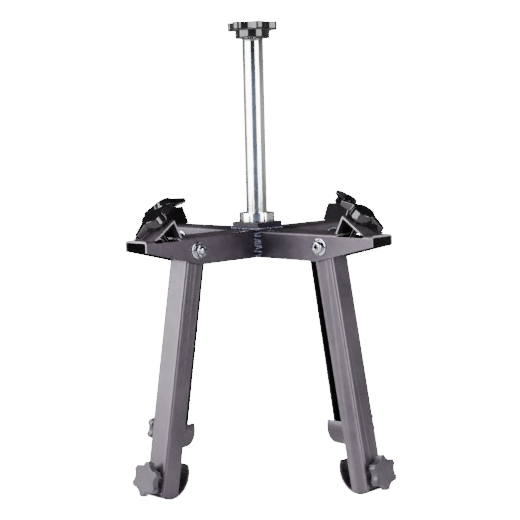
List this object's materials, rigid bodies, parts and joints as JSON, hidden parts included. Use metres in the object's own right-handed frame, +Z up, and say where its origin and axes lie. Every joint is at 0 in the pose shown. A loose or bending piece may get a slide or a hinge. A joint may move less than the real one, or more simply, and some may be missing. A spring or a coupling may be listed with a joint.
{
  "type": "engine stand",
  "caption": "Stand with a bright post on a four-armed channel hub, hinged channel legs with curved shoes, clamp screws with winged knobs, and a lobed knob on the post.",
  "frame": {"origin": "on the post's axis at floor level, midway between the four feet", "axes": "+Z up along the post, arms and legs along +X, +Y, -X and -Y"},
  "size_m": [0.5008, 0.5008, 0.6903],
  "materials": {
    "frame_black": "satin black powder coat",
    "leg_black": "satin black powder coat",
    "weld_black": "weld bead under black coat",
    "bright_plate": "bright plated steel",
    "zinc_fastener": "bright zinc",
    "gloss_knob": "gloss black moulded plastic",
    "satin_knob": "satin black moulded plastic",
    "bush_bronze": "plain bronze"
  },
  "bodies": {
    "base": {"hub_plate": "frame_black", "collar": "bright_plate", "post": "bright_plate", "post_plug": "bright_plate", "hub_welds": "weld_black", "pivot_nuts": "zinc_fastener", "pivot_washers": "zinc_fastener", "bracket_nuts": "frame_black", "arm_right": "frame_black", "arm_back": "frame_black", "arm_left": "frame_black", "arm_front": "frame_black", "bracket_right": "frame_black", "bracket_back": "frame_black", "bracket_left": "frame_black", "bracket_front": "frame_black", "pivot_bolt_right": "zinc_fastener", "pivot_bolt_back": "zinc_fastener", "pivot_bolt_left": "zinc_fastener", "pivot_bolt_front": "zinc_fastener"},
    "top_knob": {"top_knob": "gloss_knob", "top_stud": "zinc_fastener"},
    "leg_right": {"leg_right": "leg_black", "shoe_right": "leg_black", "pivot_bush_right": "bush_bronze", "foot_nut_right": "zinc_fastener"},
    "clamp_right": {"clamp_knob_right": "gloss_knob", "clamp_screw_right": "zinc_fastener"},
    "foot_right": {"foot_knob_right": "satin_knob", "foot_screw_right": "zinc_fastener"},
    "leg_back": {"leg_back": "leg_black", "shoe_back": "leg_black", "pivot_bush_back": "bush_bronze", "foot_nut_back": "zinc_fastener"},
    "clamp_back": {"clamp_knob_back": "gloss_knob", "clamp_screw_back": "zinc_fastener"},
    "foot_back": {"foot_knob_back": "satin_knob", "foot_screw_back": "zinc_fastener"},
    "leg_left": {"leg_left": "leg_black", "shoe_left": "leg_black", "pivot_bush_left": "bush_bronze", "foot_nut_left": "zinc_fastener"},
    "clamp_left": {"clamp_knob_left": "gloss_knob", "clamp_screw_left": "zinc_fastener"},
    "foot_left": {"foot_knob_left": "satin_knob", "foot_screw_left": "zinc_fastener"},
    "leg_front": {"leg_front": "leg_black", "shoe_front": "leg_black", "pivot_bush_front": "bush_bronze", "foot_nut_front": "zinc_fastener"},
    "clamp_front": {"clamp_knob_front": "gloss_knob", "clamp_screw_front": "zinc_fastener"},
    "foot_front": {"foot_knob_front": "satin_knob", "foot_screw_front": "zinc_fastener"}
  },
  "joints": [
    {"name": "top_knob_turn", "type": "hinge", "parent": "base", "child": "top_knob", "pos_m": [0, 0, 0.66599], "axis": [0, 0, 1], "continuous": true},
    {"name": "leg_pivot_right", "type": "hinge", "parent": "base", "child": "leg_right", "pos_m": [0.148, 0, 0.35799], "axis": [0, 1, 0], "range_deg": [0, 20]},
    {"name": "clamp_turn_right", "type": "hinge", "parent": "base", "child": "clamp_right", "pos_m": [0.20466, 0, 0.39622], "axis": [0.5692, 0, 0.8222], "continuous": true},
    {"name": "foot_turn_right", "type": "hinge", "parent": "leg_right", "child": "foot_right", "pos_m": [0.22438, 0, 0.03093], "axis": [0.9833, 0, 0.1822], "continuous": true},
    {"name": "leg_pivot_back", "type": "hinge", "parent": "base", "child": "leg_back", "pos_m": [0, 0.148, 0.35799], "axis": [-1, 0, 0], "range_deg": [0, 20]},
    {"name": "clamp_turn_back", "type": "hinge", "parent": "base", "child": "clamp_back", "pos_m": [0, 0.20466, 0.39622], "axis": [0, 0.5692, 0.8222], "continuous": true},
    {"name": "foot_turn_back", "type": "hinge", "parent": "leg_back", "child": "foot_back", "pos_m": [0, 0.22438, 0.03093], "axis": [0, 0.9833, 0.1822], "continuous": true},
    {"name": "leg_pivot_left", "type": "hinge", "parent": "base", "child": "leg_left", "pos_m": [-0.148, 0, 0.35799], "axis": [0, -1, 0], "range_deg": [0, 20]},
    {"name": "clamp_turn_left", "type": "hinge", "parent": "base", "child": "clamp_left", "pos_m": [-0.20466, 0, 0.39622], "axis": [-0.5692, 0, 0.8222], "continuous": true},
    {"name": "foot_turn_left", "type": "hinge", "parent": "leg_left", "child": "foot_left", "pos_m": [-0.22438, 0, 0.03093], "axis": [-0.9833, 0, 0.1822], "continuous": true},
    {"name": "leg_pivot_front", "type": "hinge", "parent": "base", "child": "leg_front", "pos_m": [0, -0.148, 0.35799], "axis": [1, 0, 0], "range_deg": [0, 20]},
    {"name": "clamp_turn_front", "type": "hinge", "parent": "base", "child": "clamp_front", "pos_m": [0, -0.20466, 0.39622], "axis": [0, -0.5692, 0.8222], "continuous": true},
    {"name": "foot_turn_front", "type": "hinge", "parent": "leg_front", "child": "foot_front", "pos_m": [0, -0.22438, 0.03093], "axis": [0, -0.9833, 0.1822], "continuous": true}
  ]
}
